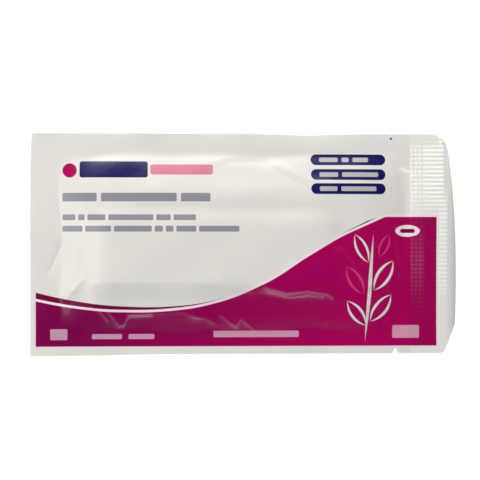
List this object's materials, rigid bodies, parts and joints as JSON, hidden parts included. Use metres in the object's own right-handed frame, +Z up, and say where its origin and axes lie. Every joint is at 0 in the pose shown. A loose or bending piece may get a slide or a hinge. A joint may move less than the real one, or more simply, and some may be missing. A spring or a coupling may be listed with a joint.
{
  "type": "sealed foil test pouch",
  "caption": "Flat sealed foil pouch holding a rapid test cassette: plain side and end seals, a dotted crimp with a curled lip, tear notch and slit, printed front.",
  "frame": {"origin": "middle of the pouch's outline, on the surface that it lies on", "axes": "+X along the pouch from the factory seal to the crimped end, +Y across it towards the tear slit, +Z up, out of the printed front"},
  "size_m": [0.126, 0.065, 0.0066],
  "materials": {
    "printed_film": "satin pearl white film over foil, printed magenta and dark blue on the front"
  },
  "bodies": {
    "root": {"foil_pouch": "printed_film"}
  },
  "joints": []
}
